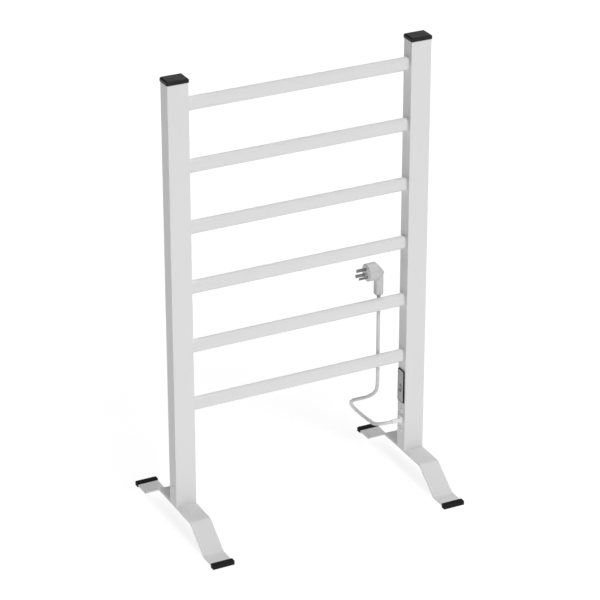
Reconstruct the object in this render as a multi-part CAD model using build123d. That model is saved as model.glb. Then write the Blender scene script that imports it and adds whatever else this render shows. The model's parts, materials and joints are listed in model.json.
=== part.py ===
"""Free-standing electric towel warmer: two posts on bent feet, six heated rungs, a push-button
panel in the right post and a mains lead clipped behind the two lowest rungs.

Millimetres. X runs along the rungs, +Y is the back, +Z is up, and the origin is on the floor
in the middle of the four foot caps.
"""
from build123d import *
import math
import os

# frame
inner_width = 448.5          # between the posts' facing sides
post_wide = 41.5             # X
post_deep = 30.0             # Y
post_corner = 1.2
post_wall = 1.5
post_bottom = 47.0
post_top = 898.0
rung_tall = 26.4
rung_deep = 13.0
rung_wall = 1.2
rung_count = 6
rung_pitch = 120.0
lowest_rung = 252.0
rung_entry = 6.0             # length of each rung's end inside its post

# feet
strip_thick = 3.0
strip_bend = 10.0            # radius at the middle of the strip
pad_gap = 2.0                # rubber under the pads
foot_reach = 179.0
front_fold, front_toe = 77.0, 133.5
back_fold, back_toe = 67.5, 134.0
foot_cap_wide = 44.5
foot_cap_tall = 8.0
foot_cap_deep = 12.0
foot_bolt_apart = 20.0
foot_bolt_radius = 3.0

# tops of the posts
top_cap_over = 1.3
top_cap_tall = 7.8
top_cap_bevel = 2.4

# control panel, in the right post's inner side
panel_middle = 185.5         # height of its centre
panel_tall = 69.0
panel_wide = 22.6
panel_proud = 2.6
panel_rim = 1.4              # bezel showing round the face plate
face_thick = 1.0
button_radius = 3.0
button_travel = 0.7
button_heights = {"power": 187.0, "timer": 174.5}
lamp_height = 209.0

# cord entry and cord
fitting_y = -1.5             # line of the side screws and the gland
gland_height = 111.0
gland_proud = 5.5            # flange
gland_reach = 20.75          # from the post's side to the tip of the strain relief
cord_diameter = 7.0
cord_y = 11.5                # the lead's upright stretch, close behind the rungs
cord_x = 177.0
plug_middle = 438.2          # height of the plug's axis
plug_radius = 17.4
plug_face_x = 149.2
grip_bottom = 388.0
neck_bottom = 383.0

post_x = inner_width / 2 + post_wide / 2
post_side = inner_width / 2
rung_heights = [lowest_rung + rung_pitch * n for n in reversed(range(rung_count))]
strip_top = pad_gap + strip_thick
sides = {"left": -1, "right": 1}

# the lead's free stretch, from the strain relief to the plug's neck
cord_route = [
    (post_side - gland_reach, fitting_y, gland_height),
    (187.0, -1.5, 111.0),
    (172.5, 16.0, 104.5),
    (178.0, 47.0, 98.5),
    (198.0, 69.0, 76.5),
    (208.0, 94.0, 64.5),
    (203.5, 119.0, 67.0),
    (187.0, 130.5, 85.0),
    (174.5, 117.5, 103.5),
    (168.5, 97.0, 120.5),
    (171.0, 73.5, 134.5),
    (179.0, 48.5, 149.0),
    (183.5, 26.0, 170.5),
    (179.0, 14.5, 200.0),
    (177.0, 11.5, 230.0),
    (177.0, 11.6, 310.0),
    (cord_x, cord_y, neck_bottom),
]


def block(x, y, z):
    """A box from three (low, high) pairs."""
    size = [high - low for low, high in (x, y, z)]
    middle = [(high + low) / 2 for low, high in (x, y, z)]
    return Pos(*middle) * Box(*size)


def rod(radius, start, end):
    """A round bar from one point to another."""
    axis = Vector(*end) - Vector(*start)
    return Plane(origin=start, z_dir=axis) * Cylinder(
        radius, axis.length, align=(Align.CENTER, Align.CENTER, Align.MIN)
    )


def upright(section, low, high):
    """A flat section pulled up from one height to another."""
    return Pos(0, 0, low) * extrude(section, high - low)


def across(section, low, high):
    """A section drawn as (Y, Z), pulled along X."""
    return Plane(origin=(low, 0, 0), x_dir=(0, 1, 0), z_dir=(1, 0, 0)) * extrude(section, high - low)


def tube_along(points, radius, bends):
    """A round wire along straight runs joined by arcs."""
    path = FilletPolyline(*points, radius=bends)
    start = Plane(origin=path @ 0, z_dir=path % 0)
    return sweep(start * Circle(radius), path=path), path


def corner_radii(points, share=0.45):
    """The largest arc that each corner's two runs leave room for."""
    radii = []
    for before, corner, after in zip(points, points[1:], points[2:]):
        arriving = Vector(*corner) - Vector(*before)
        leaving = Vector(*after) - Vector(*corner)
        half_turn = math.radians(arriving.get_angle(leaving)) / 2
        radii.append(share * min(arriving.length, leaving.length) / math.tan(half_turn))
    return radii


def rung_section(inset=0.0):
    return SlotOverall(rung_tall - 2 * inset, rung_deep - 2 * inset, rotation=90)


def post_section(inset=0.0):
    corner = max(post_corner - inset, 0.6)
    return RectangleRounded(post_wide - 2 * inset, post_deep - 2 * inset, corner)


def make_post(side):
    """Rectangular tube with the rungs' sockets cut in its inner wall."""
    middle = side * post_x
    wall = upright(post_section() - post_section(post_wall), post_bottom, post_top)
    post = Pos(middle, 0, 0) * wall
    inner = side * post_side
    low, high = sorted((inner - side, inner + side * (post_wall + 1)))
    for height in rung_heights:
        post -= Pos(0, 0, height) * across(rung_section(), low, high)
    return post


def make_foot(side):
    """Flat strip bent into an arch, with a pad on the floor at each end."""
    pad, flat = strip_top - strip_thick / 2, post_bottom - strip_thick / 2
    inside_cap = foot_reach - 2.0
    outline = [
        (-inside_cap, pad),
        (-front_toe, pad),
        (-front_fold, flat),
        (back_fold, flat),
        (back_toe, pad),
        (inside_cap, pad),
    ]
    path = FilletPolyline(*[(side * post_x, y, z) for y, z in outline], radius=strip_bend)
    start = Plane(origin=path @ 0, x_dir=(1, 0, 0), z_dir=path % 0)
    foot = sweep(start * Rectangle(post_wide, strip_thick), path=path)
    for x in bolt_places(side):
        foot -= rod(foot_bolt_radius + 0.3, (x, 0, 30), (x, 0, 60))
    return foot


def bolt_places(side):
    return [side * post_x + shift * foot_bolt_apart / 2 for shift in (-1, 1)]


def make_foot_cap(side, end):
    """Rubber shoe on a strip's end: end is -1 at the front and 1 at the back."""
    low, high = sorted((end * (foot_reach - foot_cap_deep), end * foot_reach))
    shoe = Pos(side * post_x, (low + high) / 2, 0) * upright(
        RectangleRounded(foot_cap_wide, foot_cap_deep, 1.8), 0, foot_cap_tall
    )
    shoe = chamfer(shoe.faces().sort_by(Axis.Z)[-1].edges(), 0.8)
    slot_low, slot_high = sorted((end * (foot_reach - foot_cap_deep - 1), end * (foot_reach - 2)))
    half = post_wide / 2
    middle = side * post_x
    return shoe - block((middle - half, middle + half), (slot_low, slot_high), (pad_gap, strip_top))


def make_top_cap(side):
    """Plastic cap: a bevelled plate on the tube and a hollow skirt inside it."""
    over = post_section(-top_cap_over)
    plate = upright(over, post_top, post_top + top_cap_tall)
    plate = chamfer(plate.faces().sort_by(Axis.Z)[-1].edges(), top_cap_bevel)
    skirt = upright(post_section(post_wall + 0.1) - post_section(post_wall + 2.1), post_top - 12, post_top)
    return Pos(side * post_x, 0, 0) * (plate + skirt)


def make_foot_insert(side):
    """Moulded block in the bottom of a post, which the foot's bolts screw into."""
    high = 95.0
    insert = upright(post_section(post_wall + 0.1), post_bottom, high)
    insert -= upright(post_section(post_wall + 4.1), post_bottom + 16, high)
    insert = Pos(side * post_x, 0, 0) * insert
    for x in bolt_places(side):
        insert -= rod(foot_bolt_radius, (x, 0, post_bottom - 1), (x, 0, post_bottom + 13))
    return insert


def make_foot_bolts():
    """Four hexagon-headed bolts, up through the strips and into the inserts."""
    bolts = []
    for side in sides.values():
        for x in bolt_places(side):
            head_top = post_bottom - strip_thick - 1.0
            head = Pos(x, 0, 0) * upright(RegularPolygon(5.0, 6, major_radius=False), head_top - 4, head_top)
            bolts.append(head + rod(foot_bolt_radius, (x, 0, head_top), (x, 0, post_bottom + 12)))
    return Compound(bolts)


def make_foot_washers():
    washers = []
    for side in sides.values():
        for x in bolt_places(side):
            low = post_bottom - strip_thick - 1.0
            ring = Circle(6.0) - Circle(foot_bolt_radius + 0.2)
            washers.append(Pos(x, 0, 0) * upright(ring, low, low + 1.0))
    return Compound(washers)


# side screws: x of the tube's side, direction into the tube, height, length
side_screws = {
    "gland": (post_side, 1, 130.5, 6.0),
    "right_foot": (post_side, 1, 87.5, 5.2),
    "left_foot": (-post_x - post_wide / 2, 1, 85.0, 5.2),
}


def make_side_screw(x, inward, height, length):
    """Button-head self-tapping screw with a cross recess."""
    head = rod(4.0, (x - inward * 2.5, fitting_y, height), (x, fitting_y, height))
    rim = head.faces().sort_by(Axis.X)[0 if inward > 0 else -1].edges()
    head = fillet(rim, 2.0)
    shank = rod(1.5, (x, fitting_y, height), (x + inward * length, fitting_y, height))
    recess_low, recess_high = sorted((x - inward * 2.6, x - inward * 1.7))
    for wide, tall in ((2.6, 0.6), (0.6, 2.6)):
        head -= block(
            (recess_low, recess_high),
            (fitting_y - wide / 2, fitting_y + wide / 2),
            (height - tall / 2, height + tall / 2),
        )
    return head + shank


def screw_hole(x, inward, height, length):
    return rod(1.5, (x - inward, fitting_y, height), (x + inward * (length + 1), fitting_y, height))


def panel_section(inset):
    return Pos(0, panel_middle) * RectangleRounded(panel_wide - 2 * inset, panel_tall - 2 * inset, 1.5)


panel_front = post_side - panel_proud
window_inset = 2.5
housing_wall = 1.4
housing_back = post_side + 18.0


def make_panel_housing():
    """Bezel on the post's side and an open-backed box through the post's window."""
    bezel = across(panel_section(0), panel_front, post_side)
    body = across(panel_section(window_inset + 0.2), post_side, housing_back)
    hollow = across(panel_section(window_inset + 0.2 + housing_wall), panel_front, housing_back + 1)
    recess = across(panel_section(panel_rim), panel_front - 1, panel_front + face_thick)
    return bezel + body - hollow - recess


def make_panel_face():
    """Thin glossy plate set in the bezel, with holes for the buttons and the lamp."""
    face = across(panel_section(panel_rim + 0.1), panel_front, panel_front + face_thick)
    back = panel_front + face_thick + 1
    for height in button_heights.values():
        face -= rod(button_radius + 0.1, (panel_front - 1, 0, height), (back, 0, height))
    return face - rod(1.5, (panel_front - 1, 0, lamp_height), (back, 0, lamp_height))


button_proud = 0.5
button_collar = panel_front + face_thick + 0.3
stem_end = 229.0
board_front = 233.4
board_thick = 1.6


def make_button(height):
    """Round key with a collar behind the face plate and a stem."""
    cap = rod(button_radius, (panel_front - button_proud, 0, height), (button_collar, 0, height))
    cap = fillet(cap.faces().sort_by(Axis.X)[0].edges(), 0.4)
    collar = rod(button_radius + 0.8, (button_collar, 0, height), (button_collar + 1, 0, height))
    return cap + collar + rod(1.5, (button_collar + 1, 0, height), (stem_end, 0, height))


plunger_end = stem_end + 2.2


def make_plunger(height):
    return rod(1.2, (stem_end, 0, height), (plunger_end, 0, height))


def make_switch_body(height):
    """Push switch on the board, with a well for its plunger."""
    body = block((230.0, board_front), (-3, 3), (height - 3, height + 3))
    return body - rod(1.3, (stem_end, 0, height), (plunger_end + button_travel + 0.4, 0, height))


def make_board():
    return block((board_front, board_front + board_thick), (-7, 7), (panel_middle - 28.5, panel_middle + 28.5))


def make_lamp_lens():
    lens = rod(1.5, (panel_front - 0.2, 0, lamp_height), (228.6, 0, lamp_height))
    return fillet(lens.faces().sort_by(Axis.X)[0].edges(), 0.15)


def make_lamp():
    bulb = rod(1.5, (229.0, 0, lamp_height), (board_front - 1, 0, lamp_height))
    return bulb + rod(1.9, (board_front - 1, 0, lamp_height), (board_front, 0, lamp_height))


def make_relay():
    low = board_front + board_thick
    return block((low, low + 10), (-6, 6), (193, 210))


def make_gland():
    """Raised flange on the post, a spigot through the wall and a tapered strain relief."""
    tip = post_side - gland_reach
    place = Pos(fitting_y, gland_height)
    flange = across(place * RectangleRounded(10.5, 16.5, 2.6), post_side - gland_proud, post_side)
    rim = flange.faces().sort_by(Axis.X)[0].edges()
    flange = fillet(rim, 1.2)
    spigot = across(place * SlotOverall(12.0, 8.8, rotation=90), post_side, 231.5)
    relief = Plane(origin=(post_side - gland_proud + 1, fitting_y, gland_height), z_dir=(-1, 0, 0)) * Cone(
        4.9, cord_diameter / 2 + 0.7, gland_reach - gland_proud + 1, align=(Align.CENTER, Align.CENTER, Align.MIN)
    )
    bore = rod(cord_diameter / 2, (tip - 1, fitting_y, gland_height), (240, fitting_y, gland_height))
    return flange + spigot + relief - bore


def make_gland_plate():
    """Plate behind the wall that the gland locks into, held by the upper side screw."""
    low = post_side + post_wall
    plate = block((low, low + 2), (-12, 12), (99, 140))
    plate -= across(Pos(fitting_y, gland_height) * SlotOverall(12.2, 9.0, rotation=90), low - 1, low + 3)
    return plate - screw_hole(*side_screws["gland"])


def make_gland_clip():
    low = post_side + post_wall + 2
    ring = Pos(fitting_y, gland_height) * (RectangleRounded(15, 18, 2) - SlotOverall(12.2, 9.0, rotation=90))
    return across(ring, low, low + 2.0)


tail_end = 238.0


def make_cord_tail():
    """The lead's sheath inside the strain relief and the post."""
    start = (post_side - gland_reach, fitting_y, gland_height)
    return rod(cord_diameter / 2, start, (tail_end, fitting_y, gland_height))


terminal_low, terminal_high = 122.0, 140.0
terminal_x = 247.0


def make_terminal_block():
    """Three-way screw terminal."""
    body = block((terminal_x - 5, terminal_x + 13), (-11.5, 11.5), (terminal_low, terminal_high))
    for y in (-4.0, 4.0):
        body -= block((terminal_x - 6, terminal_x - 2), (y - 0.6, y + 0.6), (terminal_low - 1, terminal_high + 1))
    return body


def make_terminal_screws():
    screws = []
    for y in (-7.8, 0.0, 7.8):
        for z in (terminal_low + 5, terminal_high - 5):
            screws.append(rod(1.6, (terminal_x - 6, y, z), (terminal_x - 5, y, z)))
    return Compound(screws)


# each core: its place in the sheath, its terminal, and where its onward lead goes
core_radius = 0.9
core_x = terminal_x + 3
cores = {
    "live": ((-1.5, -1.0), -7.8, [(core_x, -5, 170), (core_x, -4, 204), (245, -4, 204)]),
    "neutral": ((0.0, 1.6), 0.0, [(core_x, 2, 178), (core_x, 3, 199), (245, 3, 199)]),
    "earth": ((1.5, -1.0), 7.8, [(254, 4.8, 153), (261.5, 4.8, 153)]),
}


def make_core(place, terminal_y, onward):
    """One insulated core: sheath to terminal, then terminal to what it feeds."""
    y, z = fitting_y + place[0], gland_height + place[1]
    first = [(tail_end, y, z), (243, y, z), (core_x, terminal_y, 117), (core_x, terminal_y, terminal_low)]
    second = [(core_x, terminal_y, terminal_high), (core_x, terminal_y, terminal_high + 6)] + onward
    solids = []
    for points in (first, second):
        solid, _ = tube_along(points, core_radius, 1.5)
        solids.append(solid)
    return Compound(solids)


earth_height = 157.0
outer_wall = post_x + post_wide / 2 - post_wall


def make_earth_stud():
    return rod(2.0, (outer_wall, 0, earth_height), (outer_wall - 9, 0, earth_height))


def make_earth_tag():
    """Ring under the nut, with a crimped tail that the earth core runs into."""
    ring = Circle(4.5) - Circle(2.1)
    tag = across(Pos(0, earth_height) * ring, outer_wall - 2.0, outer_wall - 1.0)
    return tag + block((outer_wall - 2.0, outer_wall - 1.0), (3.2, 6.4), (earth_height - 6, earth_height - 1.5))


def make_earth_nut():
    hexagon = RegularPolygon(3.5, 6, major_radius=False) - Circle(2.0)
    return across(Pos(0, earth_height) * hexagon, outer_wall - 5.2, outer_wall - 2.0)


def make_thermal_cutout():
    body = block((outer_wall - 4.0, outer_wall - 0.2), (-4, 4), (224, 244))
    return fillet(body.edges().filter_by(Axis.X), 1.2)


element_radius = 1.5
riser_x = post_x + 5.0
return_x, return_y = post_x + 12.0, 8.0


def make_heating_element():
    """One insulated heating wire: through every rung in turn, then back down the right post."""
    points = [(return_x, -return_y, terminal_high), (return_x, -return_y, lowest_rung - 26)]
    side = 1
    for height in reversed(rung_heights):
        points += [(side * riser_x, 0, height), (-side * riser_x, 0, height)]
        side = -side
    points += [(return_x, return_y, rung_heights[0] - 12), (return_x, return_y, terminal_high)]
    solid, _ = tube_along(points, element_radius, 7.0)
    return solid


clip_rungs = {"lower": rung_heights[-1], "upper": rung_heights[-2]}


def make_cord_clip(height):
    """Nylon saddle stuck to a rung's back, with a ring that holds the lead."""
    back = rung_deep / 2
    base = block((cord_x - 7, cord_x + 7), (back, back + 1.8), (height - 6, height + 6))
    base = fillet(base.edges().filter_by(Axis.Y), 1.5)
    ring = Circle(cord_diameter / 2 + 1.4) - Circle(cord_diameter / 2 + 0.1)
    clip = base + Pos(cord_x, cord_y, 0) * upright(ring, height - 4, height + 4)
    return clip - rod(cord_diameter / 2 + 0.1, (cord_x, cord_y, height - 10), (cord_x, cord_y, height + 10))


grip_wide = 17.0
grip_deep = 14.5
grip_shift = -0.8            # of the grip's middle from the lead, along X
body_back = cord_x + grip_shift + grip_wide / 2
blade_middle = 435.2         # height that the blades' pattern is set out from
blade_wide = 6.35
blade_thick = 1.6
line_blade_y = 6.86
line_blade_drop = 3.96
earth_blade_rise = 10.3
earth_blade_tip = 128.0
line_blade_tip = 130.0


def make_plug_body():
    """Right-angled moulded plug: a round head facing -X and a grip that runs down to the lead."""
    shoulder = body_back - 13.0
    head = rod(plug_radius, (plug_face_x, cord_y, plug_middle), (shoulder, cord_y, plug_middle))
    head = fillet(head.faces().sort_by(Axis.X)[0].edges(), 1.2)
    head += Plane(origin=(shoulder, cord_y, plug_middle), z_dir=(1, 0, 0)) * Cone(
        plug_radius, grip_deep / 2 + 1, body_back - shoulder, align=(Align.CENTER, Align.CENTER, Align.MIN)
    )
    slope = Polyline(
        (shoulder - 2, plug_middle + plug_radius + 0.5),
        (shoulder + 5, plug_middle + plug_radius + 10),
        (body_back + 5, plug_middle + plug_radius + 10),
        (body_back + 5, plug_middle - 8),
        (body_back, plug_middle - 3),
        close=True,
    )
    wedge = Plane(origin=(0, cord_y + 30, 0), x_dir=(1, 0, 0), z_dir=(0, -1, 0)) * make_face(slope)
    head -= extrude(wedge, 60)
    middle = cord_x + grip_shift
    grip = Pos(middle, cord_y, 0) * upright(
        RectangleRounded(grip_wide, grip_deep, 4.5), grip_bottom, plug_middle - 3
    )
    grip = chamfer(grip.faces().sort_by(Axis.Z)[0].edges(), 1.5)
    neck = rod(cord_diameter / 2 + 0.4, (cord_x, cord_y, neck_bottom), (cord_x, cord_y, grip_bottom + 2))
    body = head + grip + neck
    return body - rod(14.6, (plug_face_x - 1, cord_y, plug_middle), (plug_face_x + 1.2, cord_y, plug_middle))


def make_plug_face():
    """Insert that carries the blades."""
    face = rod(14.5, (plug_face_x - 0.4, cord_y, plug_middle), (plug_face_x + 1.2, cord_y, plug_middle))
    for blade in blade_solids():
        face -= blade
    return face


def blade_solids():
    """Earth blade above, upright, and two line blades below it, leaning 30 degrees."""
    places = [
        (0.0, earth_blade_rise, 0, earth_blade_tip),
        (line_blade_y, -line_blade_drop, -30, line_blade_tip),
        (-line_blade_y, -line_blade_drop, 30, line_blade_tip),
    ]
    blades = []
    for y, z, lean, tip in places:
        length = plug_face_x + 1.2 - tip
        blade = Box(length, blade_thick, blade_wide, align=(Align.MIN, Align.CENTER, Align.CENTER))
        blade = chamfer(blade.edges().group_by(Axis.X)[0], 0.5)
        blades.append(Pos(tip, cord_y + y, blade_middle + z) * Rot(X=lean) * blade)
    return blades


def make_cord():
    """The free lead, as straight runs joined by arcs."""
    radii = corner_radii(cord_route)
    print("cord radii", [round(radius) for radius in radii])
    solid, path = tube_along(cord_route, cord_diameter / 2, radii)
    section = math.pi * (cord_diameter / 2) ** 2
    print("cord length %.0f, volume over section x length %.4f" % (path.length, solid.volume / section / path.length))
    return solid


def make_parts():
    parts = {}
    for name, side in sides.items():
        parts["post_" + name] = make_post(side)
        parts["post_cap_" + name] = make_top_cap(side)
        parts["foot_" + name] = make_foot(side)
        parts["foot_insert_" + name] = make_foot_insert(side)
        for end_name, end in {"front": -1, "back": 1}.items():
            parts["foot_cap_%s_%s" % (end_name, name)] = make_foot_cap(side, end)
    for number, height in enumerate(rung_heights, 1):
        end = post_side + rung_entry
        wall = rung_section() - rung_section(rung_wall)
        parts["rung_%d" % number] = Pos(0, 0, height) * across(wall, -end, end)

    window = across(panel_section(window_inset), post_side - 1, post_side + post_wall + 1)
    spigot = across(Pos(fitting_y, gland_height) * SlotOverall(12, 8.8, rotation=90), post_side - 1, post_side + 2)
    parts["post_right"] -= window
    parts["post_right"] -= spigot
    for name, screw in side_screws.items():
        post = "post_left" if name.startswith("left") else "post_right"
        parts[post] -= screw_hole(*screw)
        if name != "gland":
            parts[post.replace("post", "foot_insert")] -= screw_hole(*screw)
        parts["%s_screw" % name] = make_side_screw(*screw)

    parts["foot_bolts"] = make_foot_bolts()
    parts["foot_washers"] = make_foot_washers()
    parts["panel_housing"] = make_panel_housing()
    parts["panel_face"] = make_panel_face()
    for name, height in button_heights.items():
        parts["%s_button" % name] = make_button(height)
        parts["%s_plunger" % name] = make_plunger(height)
        parts["%s_switch" % name] = make_switch_body(height)
    parts["control_board"] = make_board()
    parts["lamp_lens"] = make_lamp_lens()
    parts["indicator_lamp"] = make_lamp()
    parts["relay"] = make_relay()
    parts["terminal_block"] = make_terminal_block()
    parts["terminal_screws"] = make_terminal_screws()
    parts["earth_stud"] = make_earth_stud()
    parts["earth_tag"] = make_earth_tag()
    parts["earth_nut"] = make_earth_nut()
    parts["thermal_cutout"] = make_thermal_cutout()
    parts["heating_element"] = make_heating_element()
    for name, core in cores.items():
        parts["%s_core" % name] = make_core(*core)

    parts["cord_gland"] = make_gland()
    parts["gland_plate"] = make_gland_plate()
    parts["gland_clip"] = make_gland_clip()
    parts["cord_tail"] = make_cord_tail()
    parts["power_cord"] = make_cord()
    for name, height in clip_rungs.items():
        parts["cord_clip_%s" % name] = make_cord_clip(height)
    parts["plug_body"] = make_plug_body()
    parts["plug_face"] = make_plug_face()
    parts["plug_blades"] = Compound(blade_solids())
    return parts


os.makedirs("parts", exist_ok=True)
for node, shape in make_parts().items():
    export_step(shape, "parts/%s.step" % node)
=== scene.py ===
import json
import math

import bmesh
import bpy
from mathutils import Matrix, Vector


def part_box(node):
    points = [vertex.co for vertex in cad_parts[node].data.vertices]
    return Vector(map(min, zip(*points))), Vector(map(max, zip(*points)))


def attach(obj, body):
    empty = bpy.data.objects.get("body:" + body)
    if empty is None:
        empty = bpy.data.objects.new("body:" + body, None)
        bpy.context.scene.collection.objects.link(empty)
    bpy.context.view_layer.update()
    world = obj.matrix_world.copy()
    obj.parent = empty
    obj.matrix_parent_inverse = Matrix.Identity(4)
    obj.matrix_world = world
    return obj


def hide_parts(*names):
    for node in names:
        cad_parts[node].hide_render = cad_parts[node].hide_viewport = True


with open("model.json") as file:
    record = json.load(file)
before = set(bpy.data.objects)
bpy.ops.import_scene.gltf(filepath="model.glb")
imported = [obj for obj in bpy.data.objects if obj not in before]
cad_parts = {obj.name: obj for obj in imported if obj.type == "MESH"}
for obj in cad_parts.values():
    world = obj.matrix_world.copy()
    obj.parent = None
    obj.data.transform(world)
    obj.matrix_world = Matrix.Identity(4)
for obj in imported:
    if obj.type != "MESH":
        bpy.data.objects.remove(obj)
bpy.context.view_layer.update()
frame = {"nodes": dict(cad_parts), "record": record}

nodes = frame["nodes"]
MM = 0.001


# ---- camera ----------------------------------------------------------------

def add_camera():
    """Front left and a little above, with a long lens."""
    azimuth = math.radians(-26.873)
    elevation = math.radians(25.717)
    distance = 5.06785
    aim = Vector((0.0029, 0.0, 0.41777))
    back = Vector((
        math.sin(azimuth) * math.cos(elevation),
        -math.cos(azimuth) * math.cos(elevation),
        math.sin(elevation),
    ))
    camera = bpy.data.objects.new("camera", bpy.data.cameras.new("camera"))
    bpy.context.scene.collection.objects.link(camera)
    camera.data.sensor_width = 36
    camera.data.lens = 162.37
    camera.data.clip_end = 100
    camera.location = aim + back * distance
    camera.rotation_euler = (-back).to_track_quat("-Z", "Y").to_euler()
    bpy.context.scene.camera = camera


# ---- shader helpers --------------------------------------------------------

class Value:
    """A socket in a material, with the operators that its maths needs."""

    def __init__(self, paint, socket):
        self.paint = paint
        self.socket = socket

    def maths(self, operation, *others):
        return self.paint.node("Math", {"operation": operation}, self, *others)

    def __add__(self, other):
        return self.maths("ADD", other)

    def __mul__(self, other):
        return self.maths("MULTIPLY", other)

    def __sub__(self, other):
        return self.maths("SUBTRACT", other)

    def __rsub__(self, other):
        return self.paint.node("Math", {"operation": "SUBTRACT"}, other, self)

    __radd__ = __add__
    __rmul__ = __mul__

    def __gt__(self, other):
        return self.maths("GREATER_THAN", other)

    def __lt__(self, other):
        return self.maths("LESS_THAN", other)

    def __abs__(self):
        return self.maths("ABSOLUTE")


class Paint:
    """A material that is built up by expressions on its surface's position."""

    def __init__(self, name):
        self.material = bpy.data.materials.new(name)
        self.material.use_nodes = True
        self.tree = self.material.node_tree
        self.shader = self.tree.nodes["Principled BSDF"]
        self.place = self.node("TexCoord", {}, output="Object")

    def node(self, kind, settings, *inputs, output=0, **named):
        """Makes a node: its settings first, then its inputs by order or identifier."""
        made = self.tree.nodes.new("ShaderNode" + kind)
        for name, value in settings.items():
            setattr(made, name, value)
        for socket, value in zip(made.inputs, inputs):
            self.feed(socket, value)
        sockets = {socket.identifier: socket for socket in made.inputs}
        for name, value in named.items():
            self.feed(sockets[name], value)
        return Value(self, made.outputs[output])

    def feed(self, socket, value):
        if isinstance(value, Value):
            self.tree.links.new(value.socket, socket)
        else:
            socket.default_value = value

    def axes(self):
        """The X, Y and Z of the place on the surface, in metres."""
        split = self.node("SeparateXYZ", {}, self.place)
        outputs = split.socket.node.outputs
        return [Value(self, outputs[name]) for name in "XYZ"]

    def noise(self, size, detail=2.0, roughness=0.5, place=None):
        """Soft random values about 0.5, with blobs of about that size in metres."""
        return self.node(
            "TexNoise",
            {},
            Vector=place or self.place,
            Scale=1 / size,
            Detail=detail,
            Roughness=roughness,
        )

    def stretched(self, scale):
        """The place, scaled along each axis, for grain that runs one way."""
        return self.node("Mapping", {}, self.place, Scale=scale)

    def mix(self, share, first, second):
        """Colours mixed by a share from 0 to 1."""
        colours = {"Factor_Float": share, "A_Color": first, "B_Color": second}
        return self.node("Mix", {"data_type": "RGBA"}, output=2, **colours)

    def between(self, value, low, high):
        """A value of 0 to 1 spread over a new range."""
        return self.node("MapRange", {}, value, 0.25, 0.75, low, high)

    def bump(self, height, depth):
        """Height from 0 to 1 as relief of that depth in metres."""
        normal = self.node("Bump", {}, Strength=1.0, Distance=depth, Height=height)
        self.feed(self.shader.inputs["Normal"], normal)

    def finish(self, colour, roughness, **uniform):
        self.feed(self.shader.inputs["Base Color"], colour)
        self.feed(self.shader.inputs["Roughness"], roughness)
        for name, value in uniform.items():
            self.shader.inputs[name.replace("_", " ")].default_value = value
        return self.material


def grey(level, tint=(1.0, 1.0, 1.0)):
    return (level * tint[0], level * tint[1], level * tint[2], 1.0)


# ---- finishes --------------------------------------------------------------

def white_paint():
    """Gloss white powder coat: faint orange peel, a slightly uneven tone and gloss."""
    paint = Paint("white_paint")
    tone = paint.between(paint.noise(0.16, 3), 0.0, 1.0)
    colour = paint.mix(tone, grey(0.745, (1.0, 1.0, 0.997)), grey(0.755, (1.0, 1.0, 0.999)))
    peel = paint.noise(0.0030, 2, 0.5)
    paint.bump(peel, 0.000012)
    gloss = paint.between(paint.noise(0.03, 3), 0.34, 0.38)
    return paint.finish(colour, gloss, Specular_IOR_Level=0.3)


def black_plastic():
    """Moulded caps: fine spark grain, and tops painted lighter as a painted highlight from the
    light above.
    """
    paint = Paint("black_plastic")
    z = paint.axes()[2]
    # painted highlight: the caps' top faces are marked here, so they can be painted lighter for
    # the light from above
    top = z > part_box("post_cap_left")[1].z - 0.2 * MM
    grain = paint.noise(0.0007, 2, 0.6)
    paint.bump(grain, 0.00004)
    tone = paint.between(paint.noise(0.012, 2), 0.0, 1.0)
    colour = paint.mix(tone, grey(0.007), grey(0.012))
    # painted highlight: the tops are painted lighter than the sides
    colour = paint.mix(top, colour, paint.mix(tone, grey(0.050), grey(0.068)))
    return paint.finish(colour, paint.between(grain, 0.40, 0.52), Specular_IOR_Level=0.25)


def black_rubber():
    """Foot shoes: matt, with dust worn into the grain."""
    paint = Paint("black_rubber")
    grain = paint.noise(0.0009, 3, 0.65)
    paint.bump(grain, 0.00006)
    tone = paint.between(paint.noise(0.008, 3), 0.0, 1.0)
    colour = paint.mix(tone, grey(0.008), grey(0.016, (1.0, 0.99, 0.97)))
    return paint.finish(colour, paint.between(grain, 0.55, 0.72), Specular_IOR_Level=0.12)


def moulded(name, level, tint, gloss=0.35, grain_size=0.0009, **uniform):
    """Any plain moulding: flow marks in the colour, fine grain in the surface."""
    paint = Paint(name)
    flow = paint.between(paint.noise(0.02, 3), 0.0, 1.0)
    colour = paint.mix(flow, grey(level * 0.95, tint), grey(level * 1.05, tint))
    grain = paint.noise(grain_size, 2, 0.6)
    paint.bump(grain, 0.00002)
    return paint.finish(colour, paint.between(grain, gloss - 0.05, gloss + 0.06), **uniform)


def plated(name, level, tint, gloss=0.3):
    """Plated steel or brass: drawn grain along Z and a mottled bloom."""
    paint = Paint(name)
    drawn = paint.noise(0.0006, 2, 0.6, paint.stretched((1.0, 1.0, 0.12)))
    bloom = paint.between(paint.noise(0.004, 3), 0.0, 1.0)
    colour = paint.mix(bloom, grey(level * 0.85, tint), grey(level, tint))
    paint.bump(drawn, 0.00001)
    roughness = paint.between(drawn, gloss - 0.07, gloss + 0.09)
    return paint.finish(colour, roughness, Metallic=1.0)


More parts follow.
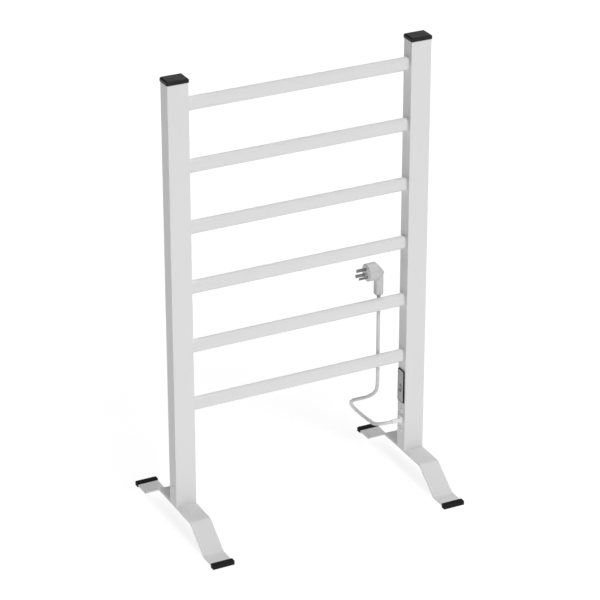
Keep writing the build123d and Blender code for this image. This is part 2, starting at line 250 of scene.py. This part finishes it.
def panel_glass():
    """Grey-green printed face under clear gloss, painted lighter towards its front edge as a
    painted sheen, with a ring round each button and two dashes.
    """
    ring_radius = 4.6 * MM
    ring_half_line = 0.18 * MM
    dash_heights = (11 * MM, 16 * MM)
    dash_half_length = 2.2 * MM
    dash_half_line = 0.3 * MM
    paint = Paint("panel_glass")
    y, z = paint.axes()[1:]
    low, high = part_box("panel_face")
    across = y - (low.y + high.y) / 2
    # painted sheen: the face's colour runs from lighter at its front edge to darker at its back
    back = paint.node("MapRange", {}, y, low.y, high.y, 0.0, 1.0)
    colour = paint.mix(back, grey(0.29, (0.93, 1.0, 0.98)), grey(0.19, (0.95, 1.0, 0.985)))
    fleck = paint.noise(0.0005, 2, 0.7)
    colour = paint.mix(paint.between(fleck, 0.0, 0.25), colour, grey(0.24, (0.95, 1.0, 0.98)))
    ink = 0.0
    for name in ("power_button", "timer_button"):
        bottom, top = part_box(name)
        up = z - (bottom.z + top.z) / 2
        reach = (across * across + up * up).maths("POWER", 0.5)
        ink = (abs(reach - ring_radius) < ring_half_line) + ink
    for height in dash_heights:
        in_line = abs(z - (low.z + height)) < dash_half_line
        ink = in_line * (abs(across) < dash_half_length) + ink
    colour = paint.mix(ink * 0.55, colour, grey(0.62))
    paint.bump(paint.noise(0.006, 1), 0.00001)
    gloss = paint.between(fleck, 0.16, 0.24)
    return paint.finish(colour, gloss, Coat_Weight=1.0, Coat_Roughness=0.04)


def striped_core():
    """Earth core: yellow stripes on green."""
    paint = Paint("core_earth")
    y, z = paint.axes()[1:]
    band = ((y + z) * 1500).maths("SINE") > 0.4
    colour = paint.mix(band, (0.03, 0.28, 0.05, 1), (0.72, 0.62, 0.04, 1))
    return paint.finish(colour, paint.between(paint.noise(0.001), 0.35, 0.5))


def board_green():
    """Solder mask over copper tracks."""
    paint = Paint("board_green")
    z = paint.axes()[2]
    wavy = z + paint.noise(0.01) * 0.003
    track = wavy.maths("PINGPONG", 0.0015) > 0.0011
    colour = paint.mix(track, (0.010, 0.085, 0.030, 1), (0.02, 0.17, 0.06, 1))
    return paint.finish(colour, paint.between(paint.noise(0.002), 0.25, 0.4))


def make_finishes():
    tints = {"none": (1, 1, 1), "warm": (1.0, 0.99, 0.96), "cool": (0.98, 0.98, 1.0)}
    return {
        "white_paint": white_paint(),
        "black_plastic": black_plastic(),
        "black_rubber": black_rubber(),
        "inner_nylon": moulded("inner_nylon", 0.62, tints["warm"], 0.45),
        "zinc_steel": plated("zinc_steel", 0.78, tints["cool"]),
        "brass": plated("brass", 0.72, (1.0, 0.78, 0.42)),
        "panel_black": moulded("panel_black", 0.008, tints["none"], 0.34, Specular_IOR_Level=0.2),
        "panel_glass": panel_glass(),
        "button_grey": moulded("button_grey", 0.13, (1.0, 0.93, 1.06), 0.3),
        "component_black": moulded("component_black", 0.03, tints["none"], 0.5),
        "board_green": board_green(),
        "lamp_green": moulded("lamp_green", 0.35, (0.35, 1.0, 0.5), 0.15, Transmission_Weight=0.2),
        "element_sheath": moulded("element_sheath", 0.42, (1.0, 0.3, 0.18), 0.5),
        "core_brown": moulded("core_brown", 0.12, (1.0, 0.5, 0.25), 0.4),
        "core_blue": moulded("core_blue", 0.35, (0.1, 0.3, 1.0), 0.4),
        "core_earth": striped_core(),
        "white_nylon": moulded("white_nylon", 0.80, tints["none"], 0.38),
        "screw_white": moulded("screw_white", 0.80, tints["none"], 0.3),
        "cord_sheath": moulded("cord_sheath", 0.64, tints["none"], 0.42),
        "plug_vinyl": moulded("plug_vinyl", 0.57, tints["none"], 0.42),
        "plug_metal": moulded("plug_metal", 0.22, tints["cool"], 0.40, Metallic=0.6),
    }


def dress_nodes(finishes):
    """Every CAD node gets its finish."""
    slots = {entry["node"]: entry["material_slot"] for entry in frame["record"]["subparts"]}
    for name, piece in nodes.items():
        piece.data.materials.clear()
        piece.data.materials.append(finishes[slots[name]])


# ---- the plug --------------------------------------------------------------

def add_moulded_plug(finish):
    """The plug's body with its edges melted soft, and its neck kept as wide as the lead.

    Smoothing shrinks the thin neck, so it is widened a little first.
    """
    neck_radius = 4.2 * MM
    neck_length = 6 * MM
    widening = 1.1
    mesh = nodes["plug_body"].data.copy()
    mesh.name = "moulded_plug"
    mesh.materials.clear()
    mesh.materials.append(finish)
    plug = bpy.data.objects.new("moulded_plug", mesh)
    bpy.context.scene.collection.objects.link(plug)
    shape = bmesh.new()
    shape.from_mesh(mesh)
    bmesh.ops.remove_doubles(shape, verts=shape.verts, dist=0.00001)
    neck = Vector(cord_route[-1]) * MM
    for vertex in shape.verts:
        outward = (vertex.co - neck).xy
        if outward.length < neck_radius and vertex.co.z < neck.z + neck_length:
            vertex.co.xy = neck.xy + outward * widening
    shape.to_mesh(mesh)
    shape.free()
    voxels = plug.modifiers.new("skin", "REMESH")
    voxels.mode = "VOXEL"
    voxels.voxel_size = 0.6 * MM
    voxels.use_smooth_shade = True
    melt = plug.modifiers.new("melt", "SMOOTH")
    melt.factor = 0.5
    melt.iterations = 14
    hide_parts("plug_body")
    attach(plug, "rack")
    return plug


# ---- the lead --------------------------------------------------------------

# control points of the lead, in millimetres, from the gland to the plug's neck
cord_route = [
    (203.5, -1.5, 111.0),
    (187.0, -1.5, 111.0),
    (172.5, 16.0, 104.5),
    (178.0, 47.0, 98.5),
    (198.0, 69.0, 76.5),
    (208.0, 94.0, 64.5),
    (203.5, 119.0, 67.0),
    (187.0, 130.5, 85.0),
    (174.5, 117.5, 103.5),
    (168.5, 97.0, 120.5),
    (171.0, 73.5, 134.5),
    (179.0, 48.5, 149.0),
    (183.5, 26.0, 170.5),
    (179.0, 14.5, 200.0),
    (177.0, 11.5, 230.0),
    (177.0, 11.6, 310.0),
    (177.0, 11.5, 383.0),
]
cord_diameter = 7.0 * MM


def add_cord(finish):
    """The white mains lead, from the strain relief to the plug's neck."""
    curve = bpy.data.curves.new("mains_lead", "CURVE")
    curve.dimensions = "3D"
    curve.bevel_depth = cord_diameter / 2
    curve.bevel_resolution = 6
    curve.resolution_u = 16
    curve.use_fill_caps = True
    spline = curve.splines.new("NURBS")
    spline.points.add(len(cord_route) - 1)
    for point, place in zip(spline.points, cord_route):
        point.co = (*(Vector(place) * MM), 1.0)
    spline.order_u = 3
    spline.use_endpoint_u = True
    cord = bpy.data.objects.new("mains_lead", curve)
    bpy.context.scene.collection.objects.link(cord)
    curve.materials.append(finish)
    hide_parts("power_cord")
    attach(cord, "rack")


# ---- room ------------------------------------------------------------------

def add_floor():
    """A pale sweep that is bright by itself and takes a faint shadow."""
    mesh = bpy.data.meshes.new("floor")
    shape = bmesh.new()
    bmesh.ops.create_circle(shape, cap_ends=True, segments=64, radius=30)
    shape.to_mesh(mesh)
    shape.free()
    floor = bpy.data.objects.new("floor", mesh)
    bpy.context.scene.collection.objects.link(floor)
    paint = Paint("pale_floor")
    paint.shader.inputs["Specular IOR Level"].default_value = 0.0
    paint.shader.inputs["Emission Color"].default_value = (1, 1, 1, 1)
    paint.shader.inputs["Emission Strength"].default_value = 0.765
    mesh.materials.append(paint.finish(grey(0.36), 1.0))


def add_sky():
    """A dim even glow from all round, for the sides that the lamps miss."""
    world = bpy.data.worlds.new("studio")
    bpy.context.scene.world = world
    world.use_nodes = True
    background = world.node_tree.nodes["Background"]
    background.inputs["Color"].default_value = (1, 1, 1, 1)
    background.inputs["Strength"].default_value = 0.03


def add_lamp(name, azimuth, elevation, strength, spread):
    """A broad, distant light. Azimuth 0 is straight in front, 90 is the panel's side."""
    lamp = bpy.data.lights.new(name, "SUN")
    lamp.energy = strength
    lamp.angle = math.radians(spread)
    holder = bpy.data.objects.new(name, lamp)
    bpy.context.scene.collection.objects.link(holder)
    turn = math.radians(azimuth)
    rise = math.radians(elevation)
    towards = Vector((
        math.sin(turn) * math.cos(rise),
        -math.cos(turn) * math.cos(rise),
        math.sin(rise),
    ))
    holder.rotation_euler = towards.to_track_quat("Z", "Y").to_euler()


add_camera()
add_floor()
add_sky()
add_lamp("key", 4, 47, 1.96, 28)
add_lamp("fill", 150, 66, 1.0, 50)
bpy.context.scene.view_settings.view_transform = "Standard"
finishes = make_finishes()
dress_nodes(finishes)
plug = add_moulded_plug(finishes["plug_vinyl"])
add_cord(finishes["cord_sheath"])
